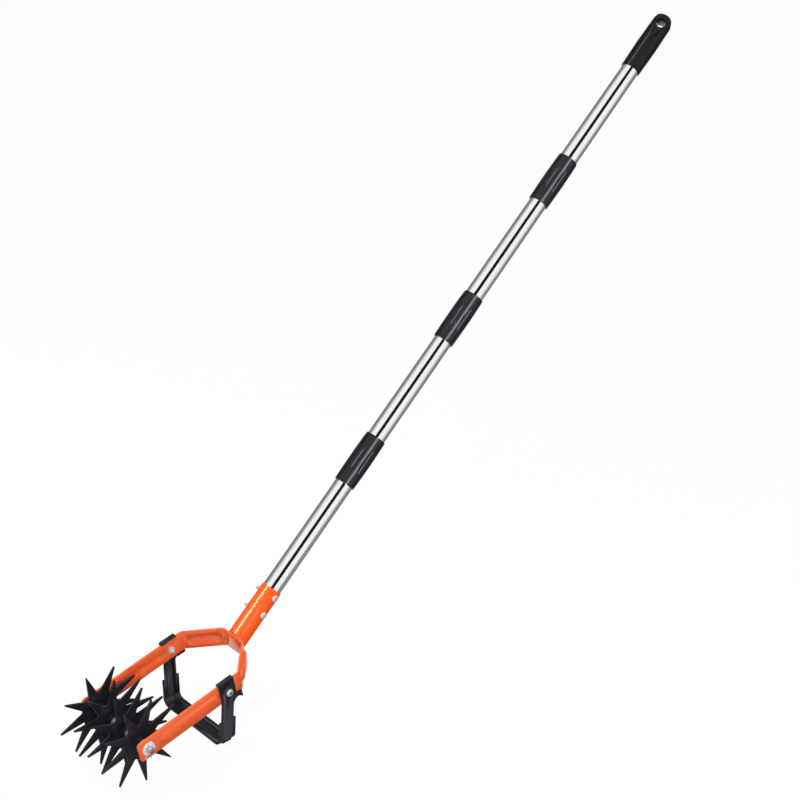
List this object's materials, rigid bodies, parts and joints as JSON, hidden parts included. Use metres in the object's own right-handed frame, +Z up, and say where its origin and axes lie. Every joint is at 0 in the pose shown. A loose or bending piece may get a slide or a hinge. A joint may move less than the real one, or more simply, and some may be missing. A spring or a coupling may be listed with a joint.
{
  "type": "rotary hand cultivator",
  "caption": "Rotary hand cultivator: star wheels on an axle in an orange strip fork, a black stirrup hoe behind them and a bright pole of screwed sections with black couplers and grip.",
  "frame": {"origin": "middle of the hang hole in the end grip", "axes": "+Y level, from the wheels towards the grip; +Z up, with the wheel points and the hoe blade on the ground; +X along the axle, towards the split pin"},
  "size_m": [0.1334, 1.0506, 0.7544],
  "materials": {
    "orange_paint": "gloss paint",
    "black_coat": "satin powder coat",
    "bright_steel": "polished",
    "zinc": "zinc plated",
    "black_plastic": "semi-gloss moulded"
  },
  "bodies": {
    "frame": {"fork": "orange_paint", "socket_tube": "orange_paint", "stirrup_hoe": "black_coat", "pole_tube_1": "bright_steel", "pole_tube_2": "bright_steel", "pole_tube_3": "bright_steel", "pole_tube_4": "bright_steel", "coupler_1": "black_plastic", "coupler_2": "black_plastic", "coupler_3": "black_plastic", "threaded_plug_1": "black_plastic", "threaded_plug_2": "black_plastic", "threaded_plug_3": "black_plastic", "end_grip": "black_plastic", "socket_screws": "zinc", "socket_nuts": "zinc", "axle": "zinc", "axle_washer": "zinc", "split_pin": "zinc", "axle_spacers": "zinc", "hoe_screws": "zinc", "hoe_nuts": "zinc"},
    "wheel_1": {"star_wheel_1": "black_coat", "wheel_bush_1": "black_coat"},
    "wheel_2": {"star_wheel_2": "black_coat", "wheel_bush_2": "black_coat"},
    "wheel_3": {"star_wheel_3": "black_coat", "wheel_bush_3": "black_coat"},
    "wheel_4": {"star_wheel_4": "black_coat", "wheel_bush_4": "black_coat"}
  },
  "joints": [
    {"name": "wheel_1_spin", "type": "hinge", "parent": "frame", "child": "wheel_1", "pos_m": [0, -0.9739, -0.67226], "axis": [1, 0, 0], "continuous": true},
    {"name": "wheel_2_spin", "type": "hinge", "parent": "frame", "child": "wheel_2", "pos_m": [0, -0.9739, -0.67226], "axis": [1, 0, 0], "continuous": true},
    {"name": "wheel_3_spin", "type": "hinge", "parent": "frame", "child": "wheel_3", "pos_m": [0, -0.9739, -0.67226], "axis": [1, 0, 0], "continuous": true},
    {"name": "wheel_4_spin", "type": "hinge", "parent": "frame", "child": "wheel_4", "pos_m": [0, -0.9739, -0.67226], "axis": [1, 0, 0], "continuous": true}
  ]
}
